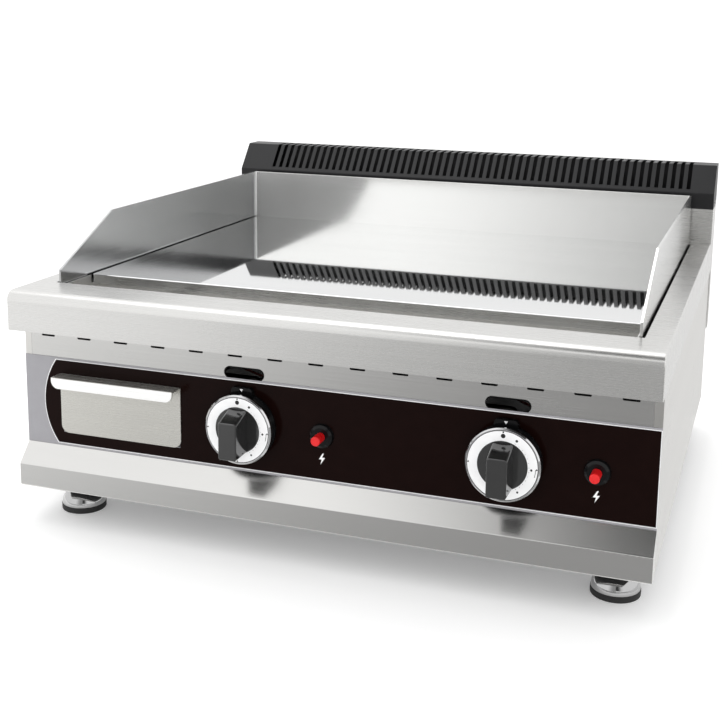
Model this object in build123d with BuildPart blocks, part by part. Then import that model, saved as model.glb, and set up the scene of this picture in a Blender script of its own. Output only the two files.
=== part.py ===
from build123d import *

# Countertop gas griddle: polished plate, splash guards, grease drawer, two burners and their gas train.

import os

os.makedirs("parts", exist_ok=True)

# ---------------------------------------------------------------- driving dimensions, mm
width = 800.0
hob_depth = 728.5  # pressed top, front face to rear edge
body_depth = 730.0  # front face of the top to the back of the rear panel
duct_reach = 30.0  # rear duct behind the rear panel
knob_reach = 15.0  # knob grips ahead of the front face of the top
sheet = 1.5
overall_depth = knob_reach + body_depth + duct_reach

foot_height = 50.0
plinth_top = 80.0
panel_bottom = 104.0
panel_top = 220.0
hob_bottom = 259.0
hob_level = 309.0
plate_level = 307.5
plate_thickness = 12.0
guard_front_top = 325.0
guard_top = 385.0
duct_top = 363.0
flue_bend = 387.0
flue_ridge = 428.0

half = width / 2
body_half = half - sheet
inner_half = body_half - sheet
guard_half = 368.0
guard_thickness = 3.0
plate_half = 361.0
opening_half = 371.0

plinth_depth = 12.0  # distances behind the front face of the top
panel_depth = 34.0
overlay_thickness = 0.8
gutter_front = 68.0
gutter_rear = 152.0
plate_front = 135.0
guard_knee = 198.0
guard_rear = 672.0
duct_front = 688.0
ridge_depth = 722.0
hob_roll = 12.5

control_level = 162.0
knob_x = {"left": -92.0, "right": 230.0}
igniter_x = {"left": 9.0, "right": 332.0}
burner_x = {"left": -180.0, "right": 180.0}
burner_level = 240.0
sight_level = 226.5

drawer_x = -262.0
drawer_front_width = 170.0
drawer_front_bottom = 122.0
drawer_front_top = 200.0
drawer_half = 81.0
drawer_bottom = 124.0
drawer_top = 184.0
drawer_rear = 400.0
lip_reach = 21.0
lip_height = 14.0

foot_x = 352.0
foot_depth = {"front": 85.0, "rear": 650.0}
foot_radius = 29.0
stem_radius = 5.0

hob_front = -overall_depth / 2 + knob_reach


def y(depth):
    """Y of a point this far behind the front face of the top."""
    return hob_front + depth


def front_facing(x, depth, z):
    """Plane seen from the front, with its sketch X to the right and its sketch Y up."""
    return Plane(origin=(x, y(depth), z), x_dir=(1, 0, 0), z_dir=(0, -1, 0))


def rear_facing(x, depth, z):
    """Plane seen from the back, on which an extrusion runs towards the rear."""
    return Plane(origin=(x, y(depth), z), x_dir=(1, 0, 0), z_dir=(0, 1, 0))


# ---------------------------------------------------------------- helpers for the open builder
def block(x_span, depth_span, z_span, mode=Mode.ADD):
    """Box between two corners, with its Y given as depths behind the front face."""
    size = [end - start for start, end in (x_span, depth_span, z_span)]
    middle_x, middle_depth, middle_z = [(start + end) / 2 for start, end in (x_span, depth_span, z_span)]
    with Locations((middle_x, y(middle_depth), middle_z)):
        Box(*size, mode=mode)


def fold(points, x_span, mode=Mode.ADD):
    """Prism along X whose side view is a closed outline of (depth, height) points."""
    with BuildSketch(Plane.YZ.offset(x_span[0])) as side_view:
        with BuildLine():
            Polyline(*[(y(depth), z) for depth, z in points], close=True)
        make_face()
    extrude(side_view.sketch, amount=x_span[1] - x_span[0], mode=mode)


def rod(x, z, radius, depth_span, mode=Mode.ADD):
    """Cylinder along Y."""
    with BuildSketch(rear_facing(x, depth_span[0], z)) as section:
        Circle(radius)
    extrude(section.sketch, amount=depth_span[1] - depth_span[0], mode=mode)


def post(x, depth, radius, z_span, mode=Mode.ADD):
    """Cylinder along Z."""
    with BuildSketch(Plane.XY.offset(z_span[0])) as section:
        with Locations((x, y(depth))):
            Circle(radius)
    extrude(section.sketch, amount=z_span[1] - z_span[0], mode=mode)


def turned(x, z, profile):
    """Solid of revolution about a line along Y, from (depth, radius) points."""
    with BuildSketch(Plane.YZ.offset(x)) as half_section:
        with BuildLine():
            Polyline(*[(y(depth), z + radius) for depth, radius in profile], close=True)
        make_face()
    revolve(half_section.sketch, axis=Axis((x, 0, z), (0, 1, 0)))


def save(builder, name):
    """Label a finished piece and write its STEP file."""
    builder.part.label = name
    export_step(builder.part, f"parts/{name}.step")


# ---------------------------------------------------------------- casing
side_flange = 24.0
fascia_half = inner_half - 8.0
rear_hole_half = 300.0
rear_hole_levels = (245.0, 288.0)
inlet_x = 340.0
pipe_level = 135.0
pipe_radius = 10.65

with BuildPart() as base_pan:
    block((-inner_half, inner_half), (panel_depth, hob_depth), (foot_height, panel_bottom))
    block(
        (-inner_half + sheet, inner_half - sheet),
        (panel_depth + sheet, hob_depth - sheet),
        (foot_height + sheet, panel_bottom),
        mode=Mode.SUBTRACT,
    )
    # side and rear flanges are lower than the front one
    block(
        (-inner_half, inner_half),
        (panel_depth + sheet, hob_depth),
        (foot_height + side_flange, panel_bottom),
        mode=Mode.SUBTRACT,
    )
    for side in (-1, 1):
        for depth in foot_depth.values():
            hole_span = (foot_height, foot_height + sheet)
            post(side * foot_x, depth, stem_radius + 1, hole_span, mode=Mode.SUBTRACT)
    # air enters through rows of slots in the floor
    with BuildSketch(Plane.XY.offset(foot_height)):
        with Locations((0, y(460))):
            with GridLocations(110, 36, 6, 5):
                SlotOverall(80, 8)
    extrude(amount=sheet, mode=Mode.SUBTRACT)
save(base_pan, "base_pan")

with BuildPart() as front_plinth:
    fold(
        [
            (plinth_depth, foot_height),
            (plinth_depth, plinth_top),
            (panel_depth, panel_bottom),
            (panel_depth, foot_height),
        ],
        (-body_half, body_half),
    )
    bends = front_plinth.edges().filter_by(Axis.X).sort_by(Axis.Y)[0:2]
    fillet(bends, 2.5)
    fold(
        [
            (plinth_depth + sheet, foot_height + sheet),
            (plinth_depth + sheet, plinth_top - 0.6),
            (panel_depth, panel_bottom - 2.2),
            (panel_depth, foot_height + sheet),
        ],
        (-inner_half, inner_half),
        mode=Mode.SUBTRACT,
    )
save(front_plinth, "front_plinth")

for name, side in (("left", -1), ("right", 1)):
    with BuildPart() as side_panel:
        main = sorted((side * inner_half, side * body_half))
        front_return = sorted((side * fascia_half, side * inner_half))
        rear_return = sorted((side * (inner_half - 12), side * inner_half))
        block(main, (panel_depth, hob_depth), (foot_height, hob_level - sheet))
        block(front_return, (panel_depth, panel_depth + sheet), (panel_bottom, hob_level - sheet))
        block(rear_return, (hob_depth - sheet, hob_depth), (foot_height + side_flange, hob_level - sheet))
    save(side_panel, f"side_panel_{name}")

with BuildPart() as rear_panel:
    block((-body_half, body_half), (hob_depth, body_depth), (foot_height, hob_level))
    block((-rear_hole_half, rear_hole_half), (hob_depth, body_depth), rear_hole_levels, mode=Mode.SUBTRACT)
    rod(inlet_x, pipe_level, pipe_radius + 1.5, (hob_depth, body_depth), mode=Mode.SUBTRACT)
    with BuildSketch(Plane(origin=(-20, y(hob_depth), 110), x_dir=(1, 0, 0), z_dir=(0, 1, 0))):
        with GridLocations(90, 16, 6, 4):
            SlotOverall(60, 6)
    extrude(amount=sheet, mode=Mode.SUBTRACT)
save(rear_panel, "rear_panel")

drawer_hole = dict(
    x_span=(drawer_x - drawer_half - 1.5, drawer_x + drawer_half + 1.5),
    z_span=(drawer_bottom - 1.5, drawer_top + 2.0),
)
slot_count = 15
slot_pitch = 52.0
slot_level = 247.5

with BuildPart() as front_fascia:
    fascia_span = (panel_depth, panel_depth + sheet)
    block((-fascia_half, fascia_half), fascia_span, (panel_bottom, hob_level - sheet))
    block(depth_span=fascia_span, mode=Mode.SUBTRACT, **drawer_hole)
    for name in knob_x:
        rod(knob_x[name], control_level, 6.0, fascia_span, mode=Mode.SUBTRACT)
        rod(igniter_x[name], control_level, 8.8, fascia_span, mode=Mode.SUBTRACT)
    with BuildSketch(front_facing(0, panel_depth, 0)):
        with Locations((0, slot_level)):
            with GridLocations(slot_pitch, 1, slot_count, 1):
                SlotOverall(19, 3)
        with Locations(*[(x, sight_level) for x in knob_x.values()]):
            SlotOverall(50, 13)
    extrude(amount=-sheet, mode=Mode.SUBTRACT)
save(front_fascia, "front_fascia")

with BuildPart() as control_overlay:
    overlay_span = (panel_depth - overlay_thickness, panel_depth)
    block((-body_half, body_half), overlay_span, (panel_bottom, panel_top))
    block(depth_span=overlay_span, mode=Mode.SUBTRACT, **drawer_hole)
    for name in knob_x:
        rod(knob_x[name], control_level, 7.0, overlay_span, mode=Mode.SUBTRACT)
        rod(igniter_x[name], control_level, 8.8, overlay_span, mode=Mode.SUBTRACT)
save(control_overlay, "control_overlay")


def hob_outline(inset, x_span, rear, mode=Mode.ADD):
    """Side view of the pressed top: a flat with a rolled front edge and a front face."""
    roll = hob_roll - inset
    with BuildSketch(Plane.YZ.offset(x_span[0])) as side_view:
        with BuildLine():
            Line((y(inset), hob_bottom), (y(inset), hob_level - hob_roll))
            RadiusArc((y(inset), hob_level - hob_roll), (y(hob_roll), hob_level - inset), roll)
            Line((y(hob_roll), hob_level - inset), (y(rear), hob_level - inset))
            Line((y(rear), hob_level - inset), (y(rear), hob_bottom))
            Line((y(rear), hob_bottom), (y(inset), hob_bottom))
        make_face()
    extrude(side_view.sketch, amount=x_span[1] - x_span[0], mode=mode)


with BuildPart() as hob_top:
    hob_outline(0, (-half, half), hob_depth)
    ends = hob_top.faces().filter_by(Axis.X).edges()
    front_ends = [
        edge for edge in ends if edge.center().Z > hob_bottom + 1 and edge.center().Y < y(hob_depth) - 1
    ]
    fillet(front_ends, 2.0)
    hob_outline(sheet, (-body_half, body_half), hob_depth + 5, mode=Mode.SUBTRACT)
    block((-body_half, body_half), (sheet, 14), (hob_bottom, hob_bottom + sheet))
    block((-opening_half, opening_half), (gutter_front - 2, guard_rear + 2), (300, 320), mode=Mode.SUBTRACT)
save(hob_top, "hob_top")

with BuildPart() as flue_duct:
    duct_sheet = 1.2
    chin = 8.0
    duct_bottom = 165.0
    duct_rear = body_depth + duct_reach
    fold(
        [
            (duct_front, hob_level),
            (duct_front, duct_top),
            (duct_rear, duct_top),
            (duct_rear, duct_bottom + chin),
            (duct_rear - chin, duct_bottom),
            (body_depth, duct_bottom),
            (body_depth, hob_level),
        ],
        (-half, half),
    )
    fold(
        [
            (duct_front + duct_sheet, hob_level + duct_sheet),
            (duct_front + duct_sheet, duct_top + 1),
            (duct_rear - duct_sheet, duct_top + 1),
            (duct_rear - duct_sheet, duct_bottom + chin + 0.5),
            (duct_rear - chin - 0.5, duct_bottom + duct_sheet),
            (body_depth + duct_sheet, duct_bottom + duct_sheet),
            (body_depth + duct_sheet, hob_level + duct_sheet),
        ],
        (-half + duct_sheet, half - duct_sheet),
        mode=Mode.SUBTRACT,
    )
    block(
        (-rear_hole_half, rear_hole_half),
        (body_depth, body_depth + duct_sheet),
        rear_hole_levels,
        mode=Mode.SUBTRACT,
    )
save(flue_duct, "flue_duct")

grille_count = 58
grille_pitch = 12.3
grille_shift = 10.0  # the row of slots sits a little to the right
ridge_slot = 30.0
grille_slot = 6.0

with BuildPart() as flue_cover:
    fold(
        [
            (duct_front, duct_top),
            (duct_front, flue_bend),
            (ridge_depth, flue_ridge),
            (duct_rear, flue_ridge),
            (duct_rear, duct_top),
        ],
        (-half, half),
    )
    cover_bends = [
        edge
        for edge in flue_cover.edges().filter_by(Axis.X)
        if edge.center().Z > flue_bend - 1 and edge.center().Y < y(duct_rear) - 1
    ]
    fillet(cover_bends, 3.0)
    fold(
        [
            (duct_front + sheet, duct_top),
            (duct_front + sheet, flue_bend - 0.6),
            (ridge_depth + 0.7, flue_ridge - sheet),
            (duct_rear - sheet, flue_ridge - sheet),
            (duct_rear - sheet, duct_top),
        ],
        (-body_half, body_half),
        mode=Mode.SUBTRACT,
    )
    # each slot runs up the sloping face and over the ridge
    slot_start = flue_bend + 5
    for index in range(grille_count):
        slot_x = grille_shift + (index - (grille_count - 1) / 2) * grille_pitch
        fold(
            [
                (duct_front, slot_start),
                (duct_front, flue_ridge + 5),
                (ridge_depth + ridge_slot, flue_ridge + 5),
                (ridge_depth + ridge_slot, flue_ridge - 4),
                (ridge_depth + 4, flue_ridge - 4),
                (duct_front + 11, slot_start),
            ],
            (slot_x - grille_slot / 2, slot_x + grille_slot / 2),
            mode=Mode.SUBTRACT,
        )
save(flue_cover, "flue_cover")

# ---------------------------------------------------------------- cooking surface
plate_bottom = plate_level - plate_thickness
guard_inner = guard_half - guard_thickness
flange_bottom = plate_bottom - guard_thickness
flange_width = 25.0
plate_rear = guard_rear - guard_thickness

with BuildPart() as griddle_plate:
    block((-plate_half, plate_half), (plate_front, plate_rear), (plate_bottom, plate_level))
    front_corners = griddle_plate.edges().filter_by(Axis.Z).sort_by(Axis.Y)[0:2]
    fillet(front_corners, 4.0)
    top_front = griddle_plate.faces().sort_by(Axis.Z)[-1].edges()
    fillet([edge for edge in top_front if edge.center().Y < y(plate_rear) - 1], 1.2)
save(griddle_plate, "griddle_plate")

for name, side in (("left", -1), ("right", 1)):
    with BuildPart() as splash_side:
        fold(
            [
                (gutter_front, flange_bottom),
                (gutter_front, guard_front_top),
                (guard_knee, guard_top),
                (guard_rear, guard_top),
                (guard_rear, flange_bottom),
            ],
            sorted((side * guard_inner, side * guard_half)),
        )
        block(
            sorted((side * (guard_inner - flange_width), side * guard_inner)),
            (gutter_rear + 1, plate_rear),
            (flange_bottom, plate_bottom),
        )
    save(splash_side, f"splash_{name}")

with BuildPart() as splash_back:
    block((-guard_inner, guard_inner), (plate_rear, guard_rear), (flange_bottom, guard_top))
    back_flange_half = guard_inner - flange_width
    block(
        (-back_flange_half, back_flange_half),
        (plate_rear - flange_width, plate_rear),
        (flange_bottom, plate_bottom),
    )
save(splash_back, "splash_back")

gutter_half = 363.0
gutter_bottom = 272.0
gutter_rim = hob_level - 2 * sheet
drain_depth = 105.0
drain_radius = 15.0

with BuildPart() as grease_gutter:
    block((-gutter_half, gutter_half), (gutter_front, gutter_rear), (gutter_bottom, gutter_rim))
    block(
        (-gutter_half + sheet, gutter_half - sheet),
        (gutter_front + sheet, gutter_rear - sheet),
        (gutter_bottom + sheet, gutter_rim),
        mode=Mode.SUBTRACT,
    )
    block(
        (-gutter_half, gutter_half),
        (plate_front - 1, gutter_rear),
        (plate_bottom, gutter_rim),
        mode=Mode.SUBTRACT,
    )
    block(
        (-plate_half, plate_half),
        (gutter_front - 13, gutter_front + sheet),
        (gutter_rim, hob_level - sheet),
    )
    post(drawer_x, drain_depth, drain_radius, (gutter_bottom, gutter_bottom + sheet), mode=Mode.SUBTRACT)
save(grease_gutter, "grease_gutter")

with BuildPart() as drain_chute:
    post(drawer_x, drain_depth, drain_radius + 2, (drawer_top + 5, gutter_bottom))
    post(drawer_x, drain_depth, drain_radius + 9, (gutter_bottom - 2, gutter_bottom))
    post(drawer_x, drain_depth, drain_radius, (drawer_top + 5, gutter_bottom), mode=Mode.SUBTRACT)
save(drain_chute, "drain_chute")

# ---------------------------------------------------------------- grease drawer
drawer_plate_front = panel_depth - overlay_thickness - 0.2 - sheet
drawer_sheet = 1.2

with BuildPart() as grease_drawer:
    drawer_x_span = (drawer_x - drawer_half, drawer_x + drawer_half)
    block(drawer_x_span, (drawer_plate_front + sheet, drawer_rear), (drawer_bottom, drawer_top))
    block(
        (drawer_x_span[0] + drawer_sheet, drawer_x_span[1] - drawer_sheet),
        (drawer_plate_front + sheet + drawer_sheet, drawer_rear - drawer_sheet),
        (drawer_bottom + drawer_sheet, drawer_top),
        mode=Mode.SUBTRACT,
    )
save(grease_drawer, "grease_drawer")

with BuildPart() as drawer_front:
    front_span = (drawer_x - drawer_front_width / 2, drawer_x + drawer_front_width / 2)
    block(
        front_span,
        (drawer_plate_front, drawer_plate_front + sheet),
        (drawer_front_bottom, drawer_front_top),
    )
    low_corners = drawer_front.edges().filter_by(Axis.Y).sort_by(Axis.Z)[0:2]
    fillet(low_corners, 10.5)
    lip_front = drawer_plate_front - lip_reach
    lip_bottom = drawer_front_top - lip_height
    block(front_span, (lip_front, drawer_plate_front), (drawer_front_top - sheet, drawer_front_top))
    block(front_span, (lip_front, lip_front + sheet), (lip_bottom, drawer_front_top))
    lip_corners = [
        edge for edge in drawer_front.edges().filter_by(Axis.Y) if abs(edge.center().Z - lip_bottom) < 0.1
    ]
    fillet(lip_corners, 10.0)
    top_bends = [
        edge
        for edge in drawer_front.edges().filter_by(Axis.X)
        if abs(edge.center().Z - drawer_front_top) < 0.1
    ]
    fillet(top_bends, 1.2)
save(drawer_front, "drawer_front")

runner_gap = 2.5
shelf_width = 15.0
runner_span = (105.0, drawer_rear)
pan_floor = foot_height + sheet

for name, side in (("left", -1), ("right", 1)):
    with BuildPart() as drawer_runner:
        web_inner = drawer_x + side * (drawer_half + runner_gap)
        web_outer = web_inner + side * sheet
        block(sorted((web_inner, web_outer)), runner_span, (pan_floor, drawer_bottom + 16))
        shelf = sorted((web_inner, web_inner - side * shelf_width))
        block(shelf, runner_span, (drawer_bottom - 0.2 - sheet, drawer_bottom - 0.2))
        block(sorted((web_outer, web_outer + side * 13)), runner_span, (pan_floor, pan_floor + sheet))
    save(drawer_runner, f"drawer_runner_{name}")

# ---------------------------------------------------------------- firebox and burners
firebox_half = 358.0
firebox_front = gutter_rear + 1.5
firebox_bottom = 195.0
venturi_radius = 13.0
tube_radius = 15.0
tube_spacing = 40.0
tube_span = (205.0, 610.0)
electrode_x = {name: x + 25.0 for name, x in burner_x.items()}
electrode_level = 262.0
ceramic_radius = 4.0

with BuildPart() as firebox:
    block((-firebox_half, firebox_half), (firebox_front, hob_depth), (firebox_bottom, flange_bottom))
    firebox_inner = firebox_half - sheet
    block(
        (-firebox_inner, firebox_inner),
        (firebox_front + sheet, hob_depth - sheet),
        (firebox_bottom + sheet, flange_bottom - sheet),
        mode=Mode.SUBTRACT,
    )
    block(
        (-firebox_inner, firebox_inner),
        (firebox_front + sheet, plate_rear - flange_width),
        (flange_bottom - sheet, flange_bottom),
        mode=Mode.SUBTRACT,
    )
    block(
        (-rear_hole_half, rear_hole_half),
        (hob_depth - sheet, hob_depth),
        rear_hole_levels,
        mode=Mode.SUBTRACT,
    )
    for name, x in burner_x.items():
        wall = (firebox_front, firebox_front + sheet)
        rod(x, burner_level, venturi_radius + 0.1, wall, mode=Mode.SUBTRACT)
        rod(electrode_x[name], electrode_level, ceramic_radius + 0.1, wall, mode=Mode.SUBTRACT)
        for offset in (-80, 0, 80):
            slot_middle = x + offset
            block(
                (slot_middle - 12, slot_middle + 12),
                (240, 400),
                (firebox_bottom, firebox_bottom + sheet),
                mode=Mode.SUBTRACT,
            )
save(firebox, "firebox")

rail_height = 20.0
with BuildPart() as firebox_rails:
    for depth in (430.0, 640.0):
        rail_span = (firebox_bottom - rail_height, firebox_bottom)
        block((-inner_half, inner_half), (depth, depth + 30), rail_span)
        block(
            (-inner_half, inner_half),
            (depth + sheet, depth + 30 - sheet),
            (firebox_bottom - rail_height, firebox_bottom - sheet),
            mode=Mode.SUBTRACT,
        )
save(firebox_rails, "firebox_rails")

with BuildPart() as burner_rest:
    rest_span = (-260.0, 260.0)
    tube_underside = burner_level - tube_radius
    block(rest_span, (570, 570 + sheet), (firebox_bottom + sheet, tube_underside))
    block(rest_span, (570, 590), (tube_underside - sheet, tube_underside))
    block(rest_span, (570, 590), (firebox_bottom + sheet, firebox_bottom + 2 * sheet))
save(burner_rest, "burner_rest")

mouth = 125.0
tube_wall = 1.5


def burner_shape(x, inset, mode=Mode.ADD):
    """Bell mouth, mixing tube, cross tube and two flame tubes, grown inward by the wall."""
    rod(x, burner_level, venturi_radius - inset, (mouth, tube_span[0]), mode=mode)
    with BuildSketch(Plane.YZ.offset(x - tube_spacing)) as cross_section:
        with Locations((y(tube_span[0]), burner_level)):
            Circle(tube_radius - inset)
    extrude(cross_section.sketch, amount=2 * tube_spacing, mode=mode)
    for tube_x in (x - tube_spacing, x + tube_spacing):
        flame_span = (tube_span[0] - 16 + inset, tube_span[1] - inset)
        rod(tube_x, burner_level, tube_radius - inset, flame_span, mode=mode)


for name, x in burner_x.items():
    with BuildPart() as burner:
        burner_shape(x, 0)
        bell = [(mouth, 8), (mouth, 20), (mouth + 2, 20), (mouth + 12, venturi_radius), (mouth + 12, 8)]
        turned(x, burner_level, bell)
        burner_shape(x, tube_wall, mode=Mode.SUBTRACT)
        with BuildSketch(Plane.XY.offset(burner_level + tube_radius - 3)):
            with Locations((x, y((tube_span[0] + tube_span[1]) / 2 + 5))):
                with GridLocations(2 * tube_spacing, 16, 2, 23):
                    Rectangle(9, 2)
        extrude(amount=6, mode=Mode.SUBTRACT)
    save(burner, f"burner_{name}")

with BuildPart() as burner_injectors:
    for x in burner_x.values():
        turned(x, burner_level, [(102, 0.9), (102, 7), (110, 7), (110, 4.5), (119, 3), (119, 0.9)])
save(burner_injectors, "burner_injectors")

# ---------------------------------------------------------------- gas train
manifold_depth = 78.0
manifold_end = 310.0
valve_depth = (52.0, 94.0)
valve_levels = (146.5, 181.0)
plug_radius = 9.0
plug_span = (62.0, 86.0)
spindle_radius = 4.0
spindle_span = (4.0, 72.0)
running_fit = 0.06
flat_offset = 2.8
feed_radius = 4.0
feed_level = 200.0
feed_depth = 80.0
outlet_top = 190.0
stub_radius = 5.0

with BuildPart() as gas_manifold:
    rail_start = knob_x["left"] - 28
    pipe_plane = Plane(origin=(rail_start, y(manifold_depth), pipe_level), x_dir=(0, 1, 0), z_dir=(1, 0, 0))
    with BuildSketch(pipe_plane):
        Circle(pipe_radius)
    extrude(amount=manifold_end - rail_start)
    with BuildSketch(pipe_plane.offset(4)):
        Circle(pipe_radius - 2.65)
    extrude(amount=manifold_end - rail_start - 4, mode=Mode.SUBTRACT)
    for x in knob_x.values():
        post(x, manifold_depth, stub_radius, (pipe_level, pipe_level + pipe_radius + 1), mode=Mode.SUBTRACT)
save(gas_manifold, "gas_manifold")

inlet_end = body_depth + duct_reach
thread_radius = 10.48
with BuildPart() as gas_inlet_pipe:
    with BuildLine():
        FilletPolyline(
            (manifold_end, y(manifold_depth), pipe_level),
            (inlet_x, y(manifold_depth), pipe_level),
            (inlet_x, y(inlet_end - 22), pipe_level),
            radius=26,
        )
    tail_plane = Plane(origin=(manifold_end, y(manifold_depth), pipe_level), x_dir=(0, 1, 0), z_dir=(1, 0, 0))
    with BuildSketch(tail_plane):
        Circle(pipe_radius)
        Circle(pipe_radius - 2.65, mode=Mode.SUBTRACT)
    sweep()
    rod(inlet_x, pipe_level, thread_radius, (inlet_end - 22, inlet_end))
    rod(inlet_x, pipe_level, pipe_radius - 2.65, (inlet_end - 22, inlet_end), mode=Mode.SUBTRACT)
save(gas_inlet_pipe, "gas_inlet_pipe")

for name, x in knob_x.items():
    with BuildPart() as valve_body:
        block((x - 17, x + 17), valve_depth, valve_levels)
        fillet(valve_body.edges().filter_by(Axis.Y), 4.0)
        bore_span = (valve_depth[0], plug_span[1] + 0.3)
        rod(x, control_level, plug_radius + running_fit, bore_span, mode=Mode.SUBTRACT)
        stub_foot = pipe_level + pipe_radius - 2.0
        post(x, manifold_depth, stub_radius, (stub_foot, valve_levels[0]))
        post(x, feed_depth, stub_radius, (valve_levels[1], outlet_top))
        post(x, feed_depth, 2.5, (valve_levels[1] - 6, outlet_top), mode=Mode.SUBTRACT)
    save(valve_body, f"valve_body_{name}")

    with BuildPart() as valve_plug:
        rod(x, control_level, plug_radius, plug_span)
        with BuildSketch(rear_facing(x, plug_span[0], control_level)):
            Circle(spindle_radius + running_fit)
            with Locations((flat_offset + running_fit + 5, 0)):
                Rectangle(10, 20, mode=Mode.SUBTRACT)
        extrude(amount=17, mode=Mode.SUBTRACT)
    save(valve_plug, f"valve_plug_{name}")

    with BuildPart() as valve_spindle:
        rod(x, control_level, spindle_radius, spindle_span)
        beyond_flat = (control_level - 10, control_level + 10)
        block((x + flat_offset, x + 10), (58, 80), beyond_flat, mode=Mode.SUBTRACT)
    save(valve_spindle, f"valve_spindle_{name}")

    with BuildPart() as feed_pipe:
        with BuildLine():
            FilletPolyline(
                (x, y(feed_depth), outlet_top),
                (x, y(feed_depth), feed_level + 6),
                (burner_x[name], y(feed_depth), feed_level + 6),
                (burner_x[name], y(feed_depth), burner_level),
                (burner_x[name], y(102), burner_level),
                radius=7.5,
            )
        with BuildSketch(Plane.XY.offset(outlet_top)):
            with Locations((x, y(feed_depth))):
                Circle(feed_radius)
                Circle(feed_radius - 1, mode=Mode.SUBTRACT)
        sweep()
    save(feed_pipe, f"feed_pipe_{name}")

# ---------------------------------------------------------------- knobs
ring_radius = 43.0
disc_radius = 28.0
bezel_radius = 42.0
ring_front = 14.0
ring_back = 18.0
knob_back = 20.0
overlay_front = panel_depth - overlay_thickness
lug_top = 49.0
grip_base = {"half_width": 12.5, "above": 26.0, "below": 27.0}
grip_face = {"half_width": 11.5, "above": 17.0, "below": 28.5}

for name, x in knob_x.items():
    with BuildPart() as knob_bezel:
        turned(
            x,
            control_level,
            [
                (overlay_front, 8),
                (overlay_front, bezel_radius),
                (overlay_front - 2, bezel_radius),
                (overlay_front - 6, bezel_radius - 2),
                (overlay_front - 8, bezel_radius - 6),
                (overlay_front - 8, 8),
            ],
        )
        # lug above the dial carries the fixed pointer
        lug = [(-17, 30), (-13, lug_top - 2), (-11, lug_top), (11, lug_top), (13, lug_top - 2), (17, 30)]
        with BuildSketch(front_facing(x, overlay_front, control_level)):
            with BuildLine():
                Polyline(*lug, close=True)
            make_face()
        extrude(amount=7)
    save(knob_bezel, f"knob_bezel_{name}")

    with BuildPart() as knob_ring:
        turned(
            x,
            control_level,
            [
                (ring_front + 0.6, disc_radius),
                (ring_front, disc_radius + 0.6),
                (ring_front, ring_radius - 1.5),
                (ring_front + 1.5, ring_radius),
                (ring_back, ring_radius),
                (ring_back, disc_radius),
            ],
        )
    save(knob_ring, f"knob_ring_{name}")

    with BuildPart() as knob:
        rod(x, control_level, disc_radius, (ring_front + 1, ring_back))
        rod(x, control_level, ring_radius - 2, (ring_back, knob_back))
        # the grip's top slopes from the disc's edge to its face
        for depth, size in ((ring_front + 1, grip_base), (-knob_reach, grip_face)):
            with BuildSketch(front_facing(x, depth, control_level)):
                with Locations((0, (size["above"] - size["below"]) / 2)):
                    RectangleRounded(2 * size["half_width"], size["above"] + size["below"], 3)
        loft()
        fillet(knob.faces().sort_by(Axis.Y)[0].edges(), 1.5)
        rod(x, control_level, spindle_radius, (spindle_span[0], knob_back), mode=Mode.SUBTRACT)
    save(knob, f"knob_{name}")

# ---------------------------------------------------------------- ignition
button_radius = 5.8
collar_radius = 15.0
button_span = (10.0, 50.0)
igniter_tail = 98.0
lead_radius = 1.5

for name, x in igniter_x.items():
    with BuildPart() as igniter_body:
        bore = button_radius + 0.1
        turned(
            x,
            control_level,
            [
                (27, bore),
                (27, collar_radius - 4),
                (29, collar_radius - 1),
                (overlay_front, collar_radius),
                (overlay_front, 8.5),
                (76, 8.5),
                (76, 6),
                (igniter_tail, 6),
                (igniter_tail, 0),
                (60, 0),
                (60, bore),
            ],
        )
    save(igniter_body, f"igniter_body_{name}")

    with BuildPart() as igniter_button:
        rod(x, control_level, button_radius, button_span)
        fillet(igniter_button.faces().sort_by(Axis.Y)[0].edges(), 1.5)
    save(igniter_button, f"igniter_button_{name}")

    tip_x = electrode_x[name]
    with BuildPart() as spark_electrode:
        rod(tip_x, electrode_level, ceramic_radius, (140, 188))
        rod(tip_x, electrode_level, 1.2, (188, 204))
    save(spark_electrode, f"spark_electrode_{name}")

    with BuildPart() as ignition_lead:
        step = (tip_x - x) / 3
        with BuildLine():
            FilletPolyline(
                (x, y(igniter_tail), control_level),
                (x, y(120), control_level),
                (x, y(122), control_level + 34),
                (x + step, y(120), 203),
                (x + 2 * step, y(118), 197),
                (tip_x, y(117), 214),
                (tip_x, y(117), electrode_level),
                (tip_x, y(140), electrode_level),
                radius=9,
            )
        with BuildSketch(rear_facing(x, igniter_tail, control_level)):
            Circle(lead_radius)
        sweep()
    save(ignition_lead, f"ignition_lead_{name}")

# ---------------------------------------------------------------- feet and fasteners
pad_height = 8.0
stem_top = 80.0
collar_top = foot_height - 0.3

for row, depth in foot_depth.items():
    for name, side in (("left", -1), ("right", 1)):
        x = side * foot_x
        spin = Axis((x, y(depth), 0), (0, 0, 1))
        with BuildPart() as foot:
            with BuildSketch(Plane.XZ.offset(-y(depth))):
                with BuildLine():
                    Polyline(
                        (x, pad_height),
                        (x + foot_radius - 0.5, pad_height),
                        (x + foot_radius - 0.5, pad_height + 2),
                    )
                    RadiusArc((x + foot_radius - 0.5, pad_height + 2), (x + 12, 30), -22)
                    Polyline(
                        (x + 12, 30),
                        (x + 12, collar_top),
                        (x + stem_radius, collar_top),
                        (x + stem_radius, stem_top),
                        (x, stem_top),
                        (x, pad_height),
                    )
                make_face()
            revolve(axis=spin)
        save(foot, f"foot_{row}_{name}")

        with BuildPart() as foot_pad:
            post(x, depth, foot_radius, (0, pad_height))
            fillet(foot_pad.edges().sort_by(Axis.Z)[0], 1.5)
        save(foot_pad, f"foot_pad_{row}_{name}")

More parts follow.
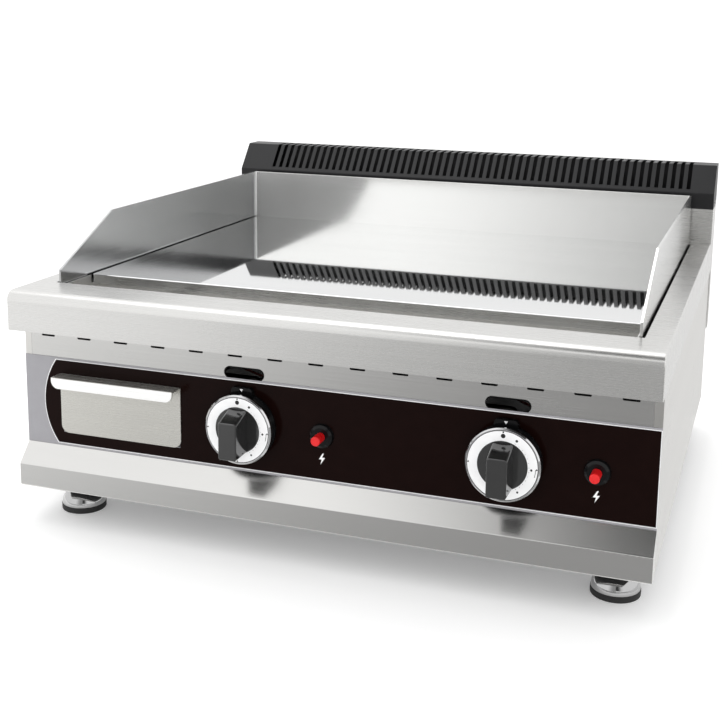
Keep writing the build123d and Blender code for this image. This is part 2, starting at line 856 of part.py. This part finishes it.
with BuildPart() as foot_sockets:
    for side in (-1, 1):
        for depth in foot_depth.values():
            post(side * foot_x, depth, 13, (pan_floor, pan_floor + 14))
            socket_span = (pan_floor, pan_floor + 14)
            post(side * foot_x, depth, stem_radius + running_fit, socket_span, mode=Mode.SUBTRACT)
save(foot_sockets, "foot_sockets")

with BuildPart() as casing_screws:
    head_radius = 3.6
    head_height = 1.6
    for x in (-380, -190, 0, 190, 380):
        rod(x, 62, head_radius, (body_depth, body_depth + head_height))
    for x in (-380, 380):
        rod(x, 130, head_radius, (body_depth, body_depth + head_height))
    for side in (-1, 1):
        head_plane = Plane(origin=(side * half, y(712), 371), x_dir=(0, 1, 0), z_dir=(side, 0, 0))
        with BuildSketch(head_plane):
            Circle(head_radius)
        extrude(amount=head_height)
save(casing_screws, "casing_screws")
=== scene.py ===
import math

import bpy
from mathutils import Matrix, Vector


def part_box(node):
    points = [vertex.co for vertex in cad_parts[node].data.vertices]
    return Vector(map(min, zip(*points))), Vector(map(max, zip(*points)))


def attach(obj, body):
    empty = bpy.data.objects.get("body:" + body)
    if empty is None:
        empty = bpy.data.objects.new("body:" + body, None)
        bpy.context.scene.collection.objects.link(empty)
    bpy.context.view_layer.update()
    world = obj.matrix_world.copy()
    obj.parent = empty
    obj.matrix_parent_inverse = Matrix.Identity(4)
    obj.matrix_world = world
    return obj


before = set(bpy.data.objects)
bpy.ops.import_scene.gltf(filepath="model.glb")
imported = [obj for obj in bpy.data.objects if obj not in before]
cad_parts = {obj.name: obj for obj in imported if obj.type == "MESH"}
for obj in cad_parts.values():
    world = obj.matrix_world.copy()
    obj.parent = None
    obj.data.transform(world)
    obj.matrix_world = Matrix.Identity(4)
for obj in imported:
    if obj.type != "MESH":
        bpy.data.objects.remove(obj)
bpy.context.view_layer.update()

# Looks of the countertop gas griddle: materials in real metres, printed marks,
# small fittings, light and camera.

MM = 0.001
ALONG_X, ALONG_Y, ALONG_Z = range(3)
SIDES = ("left", "right")
FILM = 0.06 * MM  # thickness of a printed or stuck-on layer

# Shapes cut in the CAD that no box of a node gives.
SIGHT_LEVEL = 226.5 * MM
SIGHT_HALF = 25 * MM
SIGHT_RADIUS = 6.5 * MM
PRINT_LEFT = -353 * MM
LIP_HEIGHT = 14 * MM
LIP_CORNER = 10 * MM

CAMERA_PLACE = (0.502, -1.6077, 0.6423)
CAMERA_AZIMUTH = math.radians(19.32)
CAMERA_DROP = math.radians(10.89)
CAMERA_TILT = math.radians(-0.70)


# ---------------------------------------------------------------- camera
def place_camera():
    """Camera at the product's usual three-quarter view, a little above the top."""
    azimuth, drop, tilt = CAMERA_AZIMUTH, CAMERA_DROP, CAMERA_TILT
    forward = Vector(
        (-math.sin(azimuth) * math.cos(drop), math.cos(azimuth) * math.cos(drop), -math.sin(drop))
    )
    level_right = Vector((math.cos(azimuth), math.sin(azimuth), 0))
    down = forward.cross(level_right)
    right = level_right * math.cos(tilt) + down * math.sin(tilt)
    up = right.cross(forward)
    camera = bpy.data.objects.new("camera", bpy.data.cameras.new("camera"))
    camera.data.sensor_width = 36
    camera.data.lens = 59.97
    camera.data.shift_y = -0.150
    camera.matrix_world = Matrix(
        (
            (right.x, up.x, -forward.x, CAMERA_PLACE[0]),
            (right.y, up.y, -forward.y, CAMERA_PLACE[1]),
            (right.z, up.z, -forward.z, CAMERA_PLACE[2]),
            (0, 0, 0, 1),
        )
    )
    bpy.context.scene.collection.objects.link(camera)
    bpy.context.scene.camera = camera


place_camera()


# ---------------------------------------------------------------- material kit
MATERIALS = {}  # every surface made below, by the name it is given there


class Surface:
    """A principled material whose patterns are laid out in metres on the piece itself."""

    def __init__(self, name, colour, metallic=0.0, roughness=0.5, **constants):
        self.material = bpy.data.materials.new(name)
        MATERIALS[name] = self.material
        self.material.use_nodes = True
        self.nodes = self.material.node_tree.nodes
        self.links = self.material.node_tree.links
        self.shader = self.nodes["Principled BSDF"]
        self.set("Base Color", (*colour, 1))
        self.set("Metallic", metallic)
        self.set("Roughness", roughness)
        for socket, value in constants.items():
            self.set(socket.replace("_", " "), value)
        self.place = self.nodes.new("ShaderNodeTexCoord").outputs["Object"]

    def set(self, socket, value):
        self.shader.inputs[socket].default_value = value

    def noise(self, sizes, detail=3.0, roughness=0.55, shift=0.0):
        """Noise whose features have these sizes in metres along X, Y and Z."""
        mapping = self.nodes.new("ShaderNodeMapping")
        mapping.inputs["Scale"].default_value = [1 / size for size in sizes]
        mapping.inputs["Location"].default_value = (shift, shift, shift)
        self.links.new(self.place, mapping.inputs["Vector"])
        texture = self.nodes.new("ShaderNodeTexNoise")
        texture.inputs["Scale"].default_value = 1.0
        texture.inputs["Detail"].default_value = detail
        texture.inputs["Roughness"].default_value = roughness
        self.links.new(mapping.outputs["Vector"], texture.inputs["Vector"])
        return texture.outputs["Fac"]

    def spread(self, factor, low, high):
        """The factor's middle range stretched to run from low to high."""
        ranged = self.nodes.new("ShaderNodeMapRange")
        ranged.inputs["From Min"].default_value = 0.3
        ranged.inputs["From Max"].default_value = 0.7
        ranged.inputs["To Min"].default_value = low
        ranged.inputs["To Max"].default_value = high
        self.links.new(factor, ranged.inputs["Value"])
        return ranged.outputs["Result"]

    def add(self, first, second):
        total = self.nodes.new("ShaderNodeMath")
        total.operation = "ADD"
        self.links.new(first, total.inputs[0])
        self.links.new(second, total.inputs[1])
        return total.outputs["Value"]

    def paint(self, factor, first, second):
        """Base colour runs from first to second with the factor."""
        mix = self.nodes.new("ShaderNodeMix")
        mix.data_type = "RGBA"
        mix.inputs["A"].default_value = (*first, 1)
        mix.inputs["B"].default_value = (*second, 1)
        self.links.new(factor, mix.inputs["Factor"])
        self.links.new(mix.outputs["Result"], self.shader.inputs["Base Color"])

    def roughen(self, factor):
        self.links.new(factor, self.shader.inputs["Roughness"])

    def bump(self, factor, depth):
        """Relief this many metres deep."""
        relief = self.nodes.new("ShaderNodeBump")
        relief.inputs["Strength"].default_value = 1.0
        relief.inputs["Distance"].default_value = depth
        self.links.new(factor, relief.inputs["Height"])
        self.links.new(relief.outputs["Normal"], self.shader.inputs["Normal"])


def shade(colour, factor):
    return tuple(channel * factor for channel in colour)


# ---------------------------------------------------------------- materials
def brushed(
    name, colour, along, roughness, depth=0.000005, spacing=0.0007, contrast=1.0, metallic=1.0
):
    """Sheet metal with hairlines along one axis, faint rolling bands and handling marks.

    A metallic share below 1 makes it satin.
    """
    surface = Surface(name, colour, metallic=metallic, roughness=roughness)
    hair_sizes = [spacing] * 3
    hair_sizes[along] = 0.3
    hairlines = surface.noise(hair_sizes, detail=3.0, roughness=0.75)
    band_sizes = [0.03] * 3
    band_sizes[along] = 1.2
    bands = surface.noise(band_sizes, detail=2.0, shift=3.0)
    clouds = surface.noise((0.16, 0.16, 0.16), detail=4.0, shift=7.0)
    tone = surface.add(
        surface.add(surface.spread(hairlines, 0.0, 0.5), surface.spread(bands, 0.0, 0.25)),
        surface.spread(clouds, 0.0, 0.25),
    )
    surface.paint(tone, shade(colour, 1 - 0.07 * contrast), shade(colour, 1 + 0.05 * contrast))
    wear = surface.add(
        surface.spread(hairlines, roughness - 0.03, roughness + 0.03), surface.spread(clouds, -0.02, 0.03)
    )
    surface.roughen(wear)
    surface.bump(hairlines, depth)


def polished(name, colour, roughness, smear=0.05):
    """Bright polished metal with wipe marks and hair-fine swirls."""
    surface = Surface(name, colour, metallic=1.0, roughness=roughness)
    wipes = surface.noise((0.30, 0.05, 0.05), detail=5.0)
    swirls = surface.noise((0.004, 0.0012, 0.004), detail=5.0, shift=5.0)
    surface.paint(surface.spread(wipes, 0, 1), shade(colour, 0.96), colour)
    surface.roughen(
        surface.add(surface.spread(wipes, roughness, roughness + smear), surface.spread(swirls, 0, 0.02))
    )
    surface.bump(swirls, 0.0000008)


def painted(name, colour, roughness, **constants):
    """Enamel with fine orange peel and slightly uneven gloss."""
    surface = Surface(name, colour, roughness=roughness, **constants)
    peel = surface.noise((0.0016, 0.0016, 0.0016), detail=2.0)
    clouds = surface.noise((0.09, 0.09, 0.09), detail=4.0, shift=2.0)
    surface.paint(surface.spread(clouds, 0, 1), shade(colour, 0.85), shade(colour, 1.15))
    surface.roughen(
        surface.add(surface.spread(clouds, roughness - 0.04, roughness + 0.06), surface.spread(peel, 0, 0.04))
    )
    surface.bump(peel, 0.00002)


def moulded(name, colour, roughness, grain=0.0007, depth=0.000004, spread=0.1, **constants):
    """Moulded or rubbery surface with a fine grain and finger marks."""
    surface = Surface(name, colour, roughness=roughness, **constants)
    fine = surface.noise((grain, grain, grain), detail=2.0)
    marks = surface.noise((0.018, 0.018, 0.018), detail=5.0, shift=4.0)
    surface.paint(surface.spread(marks, 0, 1), shade(colour, 1 - spread), shade(colour, 1 + spread))
    surface.roughen(
        surface.add(surface.spread(marks, roughness, roughness + 0.05), surface.spread(fine, 0, 0.02))
    )
    surface.bump(fine, depth)


STEEL = (0.72, 0.715, 0.70)
# Near-white tone of the back guard steel: painted light.
SPLASH_PAINTED_LIGHT = (0.93, 0.93, 0.915)

brushed("steel_top", STEEL, ALONG_X, 0.27, metallic=0.92)
# Top steel painted 10% darker for the front fascia, grease drawer and drain chute: painted shade under the
# overhang of the top.
brushed("steel_front_painted_shade", shade(STEEL, 0.9), ALONG_X, 0.24)
brushed("steel_plinth", STEEL, ALONG_X, 0.19, depth=0.0000015, contrast=0.6)
brushed("steel_side", (0.72, 0.71, 0.685), ALONG_Y, 0.3)
brushed("steel_drawer", (0.64, 0.63, 0.59), ALONG_X, 0.27, metallic=0.75)
# The back guard and the two side guards are one steel in three tones. The back is painted light (near-white
# and partly matt), the left guard is painted shade (darkened), and the right guard is painted lighter than
# the left.
brushed("steel_splash", SPLASH_PAINTED_LIGHT, ALONG_X, 0.11, depth=0.000001, contrast=0.3, metallic=0.75)
# Near-white, mostly matt steel on the drawer's pull lip: a painted highlight.
brushed("steel_lip_painted_highlight", (0.95, 0.95, 0.94), ALONG_X, 0.3, metallic=0.3)
brushed("steel_splash_left_painted_shade", (0.56, 0.565, 0.57), ALONG_Y, 0.15, depth=0.000002, contrast=0.6)
brushed("steel_splash_right_painted_light", (0.86, 0.86, 0.85), ALONG_Y, 0.2, depth=0.000002, contrast=0.6)
# Base pan, firebox, rails, runners, manifold, inlet pipe and foot sockets painted near-black: painted shade
# inside the body.
brushed("steel_inner_painted_shade", (0.06, 0.06, 0.06), ALONG_X, 0.5, depth=0.00003, spacing=0.004)
polished("mirror", (0.88, 0.885, 0.885), 0.012, smear=0.02)
polished("rim_chrome", (0.75, 0.75, 0.76), 0.08)
polished("foot_chrome", (0.5, 0.5, 0.5), 0.05)
# Near-white, mostly matt weld strip: a weld with a painted highlight along it.
brushed("weld_painted_highlight", (0.96, 0.96, 0.95), ALONG_Z, 0.35, metallic=0.2)
polished("screw_plate", (0.72, 0.72, 0.71), 0.2)
painted("flue_enamel", (0.014, 0.014, 0.015), 0.34, Specular_IOR_Level=0.25)
moulded("panel_grey", (0.33, 0.325, 0.345), 0.35, spread=0.03, grain=0.0004, depth=0.000002)
moulded("panel_black", (0.0075, 0.0025, 0.002), 0.12, depth=0.0000015, Specular_IOR_Level=0.08)
moulded("print_white", (0.86, 0.86, 0.86), 0.4, spread=0.04, depth=0.000001)
moulded("print_black", (0.01, 0.01, 0.01), 0.4, depth=0.000001)
moulded("trim_black", (0.006, 0.006, 0.006), 0.5, depth=0.000004, Specular_IOR_Level=0.05)
moulded("dial_white", (0.93, 0.93, 0.935), 0.3, spread=0.02, depth=0.000002)
moulded("bezel_black", (0.005, 0.005, 0.0055), 0.1, Specular_IOR_Level=0.22)
moulded(
    "knob_gloss", (0.012, 0.012, 0.012), 0.08, depth=0.0000008, Specular_IOR_Level=1.0, Coat_Weight=0.5
)
moulded("button_red", (0.75, 0.008, 0.01), 0.25)
moulded("pad_rubber", (0.01, 0.01, 0.01), 0.6, grain=0.0012, depth=0.00004)
brushed("valve_brass", (0.62, 0.44, 0.18), ALONG_Y, 0.3, spacing=0.002)
# Feed pipes painted near-black: painted shade inside the body.
brushed("feed_aluminium", (0.06, 0.058, 0.055), ALONG_Z, 0.35, spacing=0.0015)
brushed("burner_steel", (0.1, 0.09, 0.08), ALONG_Y, 0.5, depth=0.00004, spacing=0.003)
moulded("ceramic", (0.8, 0.78, 0.72), 0.2)
moulded("lead_sleeve", (0.2, 0.03, 0.02), 0.5, grain=0.001, depth=0.00002)

NODE_MATERIALS = {
    "steel_top": "hob_top grease_gutter rear_panel flue_duct",
    "steel_front_painted_shade": "front_fascia grease_drawer drain_chute",
    "steel_plinth": "front_plinth",
    "steel_side": "side_panel_left side_panel_right",
    "steel_drawer": "drawer_front",
    "steel_splash": "splash_back",
    "steel_splash_left_painted_shade": "splash_left",
    "steel_splash_right_painted_light": "splash_right",
    "steel_inner_painted_shade": (
        "base_pan firebox firebox_rails burner_rest drawer_runner_left drawer_runner_right"
        " gas_manifold gas_inlet_pipe foot_sockets"
    ),
    "mirror": "griddle_plate",
    "foot_chrome": "foot_front_left foot_front_right foot_rear_left foot_rear_right",
    "screw_plate": "casing_screws",
    "flue_enamel": "flue_cover",
    "panel_grey": "control_overlay",
    "rim_chrome": "knob_ring_left knob_ring_right",
    "bezel_black": "knob_bezel_left knob_bezel_right igniter_body_left igniter_body_right",
    "knob_gloss": "knob_left knob_right",
    "button_red": "igniter_button_left igniter_button_right",
    "pad_rubber": "foot_pad_front_left foot_pad_front_right foot_pad_rear_left foot_pad_rear_right",
    "valve_brass": (
        "valve_body_left valve_body_right valve_plug_left valve_plug_right"
        " valve_spindle_left valve_spindle_right burner_injectors"
    ),
    "feed_aluminium": "feed_pipe_left feed_pipe_right",
    "burner_steel": "burner_left burner_right",
    "ceramic": "spark_electrode_left spark_electrode_right",
    "lead_sleeve": "ignition_lead_left ignition_lead_right",
}

for material_name, node_names in NODE_MATERIALS.items():
    for node_name in node_names.split():
        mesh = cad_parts[node_name].data
        for index in range(len(mesh.materials)):
            mesh.materials[index] = MATERIALS[material_name]


# ---------------------------------------------------------------- edges
def soften(node_name, width):
    """Rounds a node's sharp edges a little, as folded and moulded edges are."""
    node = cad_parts[node_name]
    weld = node.modifiers.new("weld", "WELD")
    weld.merge_threshold = 0.000005
    bevel = node.modifiers.new("bevel", "BEVEL")
    bevel.width = width
    bevel.segments = 2
    bevel.limit_method = "ANGLE"
    bevel.angle_limit = math.radians(35)


for node_name in (
    "hob_top side_panel_left side_panel_right front_plinth drawer_front splash_left splash_right splash_back"
).split():
    soften(node_name, 0.4 * MM)


# ---------------------------------------------------------------- printed and applied shapes
def flat_piece(name, outlines, front, thickness, material, body):
    """Sheet facing -Y with its front at this Y; outlines are (x, z) loops, the inner ones holes."""
    curve = bpy.data.curves.new(name, "CURVE")
    curve.dimensions = "2D"
    curve.fill_mode = "BOTH"
    curve.extrude = thickness / 2
    for outline in outlines:
        spline = curve.splines.new("POLY")
        spline.points.add(len(outline) - 1)
        for point, (x, z) in zip(spline.points, outline):
            point.co = (x, z, 0, 1)
        spline.use_cyclic_u = True
    holder = bpy.data.objects.new(name + "_outline", curve)
    mesh = bpy.data.meshes.new_from_object(holder)
    bpy.data.objects.remove(holder)
    mesh.transform(Matrix.Translation((0, front + thickness / 2, 0)) @ Matrix.Rotation(math.pi / 2, 4, "X"))
    piece(name, mesh, material, body)


def piece(name, mesh, material, body):
    """A finished mesh shown with one material, moving with a CAD body."""
    shown = bpy.data.objects.new(name, mesh)
    bpy.context.scene.collection.objects.link(shown)
    mesh.materials.clear()
    mesh.materials.append(MATERIALS[material])
    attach(shown, body)


def arc(centre, radius, start, end, steps=24):
    """Points on a circle from start to end degrees, measured clockwise from straight up."""
    turns = [math.radians(start + (end - start) * step / steps) for step in range(steps + 1)]
    return [(centre[0] + radius * math.sin(turn), centre[1] + radius * math.cos(turn)) for turn in turns]


def disc(centre, radius, steps=24):
    return arc(centre, radius, 0, 360, steps)[:-1]


def arc_band(centre, radius, half_width, start, end):
    """Outline of a curved stroke."""
    outer = arc(centre, radius + half_width, start, end)
    inner = arc(centre, radius - half_width, start, end)
    return outer + inner[::-1]


def centre_xz(node_name):
    low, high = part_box(node_name)
    return ((low[0] + high[0]) / 2, (low[2] + high[2]) / 2)


def front_of(node_name):
    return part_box(node_name)[0][1]


def dress_panel():
    """Black print with a light outline over the grey film; its left end is an arc."""
    low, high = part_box("control_overlay")
    front = low[1] - FILM
    margin = 3.5 * MM
    bulge = 18 * MM
    left, right = PRINT_LEFT, high[0] - 1.2 * MM
    bottom, top = low[2] + margin, high[2] - margin
    rise = top - bottom

    def outline(grow):
        """Rectangle whose left side bulges, grown outwards on all sides."""
        reach = rise / 2 + grow
        radius = (reach**2 + bulge**2) / (2 * bulge)
        middle = (bottom + top) / 2
        span = math.degrees(math.asin(reach / radius))
        bow = arc((left - bulge + radius - grow, middle), radius, 270 - span, 270 + span)
        return [(right + grow, top + grow), (right + grow, bottom - grow)] + bow

    drawer_low, drawer_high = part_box("grease_drawer")
    gap = 2 * MM
    opening = [
        (drawer_low[0] - gap, drawer_low[2] - gap),
        (drawer_high[0] + gap, drawer_low[2] - gap),
        (drawer_high[0] + gap, drawer_high[2] + gap),
        (drawer_low[0] - gap, drawer_high[2] + gap),
    ]
    shape = [outline(0), opening]
    flat_piece("panel_print", shape, front, FILM, "panel_black", "casing")
    line = [outline(1.1 * MM), outline(0.3 * MM)]
    flat_piece("panel_outline", line, front, FILM, "print_white", "casing")
    return front


SPARK_SHAPE = (
    (0.1, 1.0), (-0.55, -0.1), (-0.05, -0.1), (-0.25, -1.0), (0.55, 0.25), (0.02, 0.25), (0.35, 1.0)
)


def spark_icon(name, centre, size, front):
    """Lightning stroke, the usual generic sign for ignition."""
    outline = [(centre[0] + size * x, centre[1] + size * z) for x, z in SPARK_SHAPE]
    flat_piece(name, [outline], front - 0.05 * MM, 0.05 * MM, "print_white", "casing")


def polar(centre, radius, turn):
    """Point at this radius, turned clockwise from straight up in degrees."""
    return (
        centre[0] + radius * math.sin(math.radians(turn)),
        centre[1] + radius * math.cos(math.radians(turn)),
    )


# Printed dots on the dial label: distance and size as shares of its radius, turn in degrees.
DIAL_DOTS = ((0.80, 0, 0.060), (0.79, 27, 0.034), (0.76, 92, 0.030), (0.79, 148, 0.028))


def dress_dial(side):
    """White label with its printed scale on the turning ring."""
    centre = centre_xz("knob_ring_" + side)
    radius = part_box("knob_ring_" + side)[1][0] - centre[0]
    front = front_of("knob_ring_" + side)
    body = "dial_" + side
    label = [disc(centre, 0.925 * radius, 96), disc(centre, 0.665 * radius, 96)]
    flat_piece("dial_label_" + side, label, front - FILM, FILM, "dial_white", body)
    marks = [disc(polar(centre, share * radius, turn), size * radius) for share, turn, size in DIAL_DOTS]
    marks.append(arc_band(centre, 0.87 * radius, 0.007 * radius, 90, 104))
    for quarter in range(4):
        marks.append(disc(polar(centre, 0.90 * radius, 90 * quarter), 0.022 * radius))
    low_flame, high_flame, ticks = 27, 148, 12
    for fine_tick in range(ticks + 1):
        turn = low_flame + (high_flame - low_flame) * fine_tick / ticks
        marks.append(disc(polar(centre, 0.70 * radius, turn), 0.008 * radius, steps=8))
    flat_piece("dial_marks_" + side, marks, front - 2 * FILM, FILM, "print_black", body)
    # Black band at the label's outer edge: painted shade in the groove between the label and the rim.
    outline = arc_band(centre, 0.94 * radius, 0.008 * radius, 0, 359.9)
    flat_piece("dial_groove_painted_shade_" + side, [outline], front - FILM, FILM, "print_black", body)


def stadium(centre, half_length, radius, steps=16):
    """Outline of a slot with round ends, its axis along X."""
    right = arc((centre[0] + half_length - radius, centre[1]), radius, 0, 180, steps)
    left = arc((centre[0] - half_length + radius, centre[1]), radius, 180, 360, steps)
    return right + left


def dress_sight_hole(side):
    """Black rim round a flame sight hole, straight above its knob."""
    centre = (centre_xz("knob_ring_" + side)[0], SIGHT_LEVEL)
    width, height = 1.2 * MM, 0.5 * MM
    rim = [
        stadium(centre, SIGHT_HALF + width, SIGHT_RADIUS + width),
        stadium(centre, SIGHT_HALF, SIGHT_RADIUS),
    ]
    front = front_of("front_fascia") - height
    flat_piece("sight_rim_" + side, rim, front, height, "trim_black", "casing")


def dress_bezel(side):
    """Pale pointer on the lug above the dial, at the off position."""
    x, z = centre_xz("knob_ring_" + side)
    tip, base, half_width = z + 44.0 * MM, z + 47.5 * MM, 2.2 * MM
    pointer = [(x, tip), (x + half_width, base), (x - half_width, base)]
    thickness = 0.1 * MM
    lug_front = front_of("knob_bezel_" + side) + 1.0 * MM
    front = lug_front - thickness
    flat_piece("dial_pointer_" + side, [pointer], front, thickness, "print_white", "casing")


def paint_lip_highlight():
    """Near-white face on the drawer's pull lip, with its rounded low corners: a painted highlight where the
    lip faces up to the light.
    """
    low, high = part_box("drawer_front")
    bottom = high[2] - LIP_HEIGHT
    inset, thickness = 0.4 * MM, 0.1 * MM
    right, left = high[0] - inset, low[0] + inset
    outline = [(left, high[2] - inset), (right, high[2] - inset)]
    corner_level = bottom + LIP_CORNER + inset
    outline += arc((right - LIP_CORNER, corner_level), LIP_CORNER, 90, 180, 10)
    outline += arc((left + LIP_CORNER, corner_level), LIP_CORNER, 180, 270, 10)
    front = low[1] - thickness
    flat_piece("drawer_lip_painted_highlight", [outline], front, thickness, "steel_lip_painted_highlight", "drawer")


def weld_corners():
    """Ground weld down each inner back corner of the guards, over the back guard's ends; its near-white
    colour is a painted highlight along the corner.
    """
    low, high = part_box("splash_back")
    plate_back, plate_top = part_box("griddle_plate")[1][1:]
    bottom, top = plate_top + 0.3 * MM, high[2] - 1.0 * MM
    front = plate_back - 0.8 * MM
    for side, x, inward in zip(SIDES, (low[0], high[0]), (1, -1)):
        x_in = x + 2.4 * MM * inward
        bead = [(x, bottom), (x_in, bottom), (x_in, top), (x, top)]
        flat_piece("weld_" + side, [bead], front, 0.7 * MM, "weld_painted_highlight", "casing")


panel_front = dress_panel()
paint_lip_highlight()
weld_corners()
for side in SIDES:
    dress_dial(side)
    dress_bezel(side)
    dress_sight_hole(side)
    button_centre = centre_xz("igniter_button_" + side)
    spark_icon("spark_sign_" + side, (button_centre[0], button_centre[1] - 29 * MM), 7 * MM, panel_front)


# ---------------------------------------------------------------- studio
def stage_floor():
    """Wide pale floor, slightly mottled."""
    reach = 9.0
    mesh = bpy.data.meshes.new("floor")
    mesh.from_pydata(
        [(-reach, -reach, 0), (reach, -reach, 0), (reach, reach, 0), (-reach, reach, 0)], [], [(0, 1, 2, 3)]
    )
    floor = bpy.data.objects.new("floor", mesh)
    bpy.context.scene.collection.objects.link(floor)
    surface = Surface(
        "floor_paper", (0.86, 0.86, 0.86), roughness=0.7, Emission_Color=(1, 1, 1, 1), Emission_Strength=0.25
    )
    clouds = surface.noise((0.5, 0.5, 0.5), detail=3.0)
    surface.paint(surface.spread(clouds, 0, 1), (0.85, 0.85, 0.85), (0.88, 0.88, 0.88))
    mesh.materials.append(surface.material)


def softbox(name, place, target, size, power):
    """Square area light facing a point."""
    light = bpy.data.lights.new(name, "AREA")
    light.shape = "RECTANGLE"
    light.size, light.size_y = size
    light.energy = power
    lamp = bpy.data.objects.new(name, light)
    lamp.location = place
    direction = Vector(target) - Vector(place)
    lamp.rotation_euler = direction.to_track_quat("-Z", "Y").to_euler()
    bpy.context.scene.collection.objects.link(lamp)


def level_card(x_span, y_span, z):
    """Corners of a card that lies flat."""
    return [(x, y, z) for y in y_span for x in x_span]


def upright_card(x_span, y, z_span):
    """Corners of a card that faces along Y."""
    return [(x, y, z) for z in z_span for x in x_span]


# Reflection cards: name, corners, the two ends of their glow, and the X where each end is reached.
CARDS = (
    ("floor_card", level_card((-3, 3), (-3.6, -0.39), 0.002), (1.1, 0.37), (-1.25, 0.3)),
    ("ceiling_card", level_card((-0.9, 1.7), (-1.7, -0.5), 1.9), (1.2, 0.04), (-0.85, 0.4)),
    ("right_floor_card", level_card((0.42, 5), (-0.38, 6), 0.002), (0.86, 0.9), (0.5, 2)),
    ("back_floor_card", level_card((-5, 0.42), (0.4, 6), 0.002), (0.68, 0.8), (-1.5, 0.4)),
    ("back_card", upright_card((-4, 3), 4, (0.4, 1.9)), (0.93, 0.9), (-2, 1)),
    ("front_left_card", upright_card((-2.6, 0.8), -3.2, (0.02, 2.2)), (1.15, 0.44), (-1.3, 0.3)),
    ("front_right_card", upright_card((0.8, 2.9), -3.2, (0.3, 2.2)), (0.08, 1.0), (1.3, 2.6)),
)


def reflector(name, corners, shades, fade):
    """Card seen only in reflections; its glow runs along X between two shades over the fade."""
    mesh = bpy.data.meshes.new(name)
    mesh.from_pydata(corners, [], [(0, 1, 3, 2)])
    card = bpy.data.objects.new(name, mesh)
    bpy.context.scene.collection.objects.link(card)
    card.visible_camera = False
    card.visible_diffuse = False
    card.visible_shadow = False
    card.visible_transmission = False
    material = bpy.data.materials.new(name)
    material.use_nodes = True
    nodes, links = material.node_tree.nodes, material.node_tree.links
    nodes.remove(nodes["Principled BSDF"])
    place = nodes.new("ShaderNodeTexCoord")
    split = nodes.new("ShaderNodeSeparateXYZ")
    ranged = nodes.new("ShaderNodeMapRange")
    glow = nodes.new("ShaderNodeEmission")
    ranged.interpolation_type = "SMOOTHSTEP"
    ranged.inputs["From Min"].default_value, ranged.inputs["From Max"].default_value = fade
    ranged.inputs["To Min"].default_value, ranged.inputs["To Max"].default_value = shades
    links.new(place.outputs["Object"], split.inputs["Vector"])
    links.new(split.outputs["X"], ranged.inputs["Value"])
    links.new(ranged.outputs["Result"], glow.inputs["Strength"])
    links.new(glow.outputs["Emission"], nodes["Material Output"].inputs["Surface"])
    mesh.materials.append(material)


def light_studio():
    """White surroundings, one soft light overhead and the reflection cards."""
    world = bpy.data.worlds.new("studio")
    bpy.context.scene.world = world
    world.use_nodes = True
    backdrop = world.node_tree.nodes["Background"]
    backdrop.inputs["Color"].default_value = (1, 1, 1, 1)
    backdrop.inputs["Strength"].default_value = 1.12
    softbox("overhead", (-0.5, 0.3, 2.3), (0, 0, 0.2), (2.2, 1.6), 14)
    for name, corners, shades, fade in CARDS:
        reflector(name, corners, shades, fade)


stage_floor()
light_studio()
bpy.context.scene.view_settings.view_transform = "Standard"
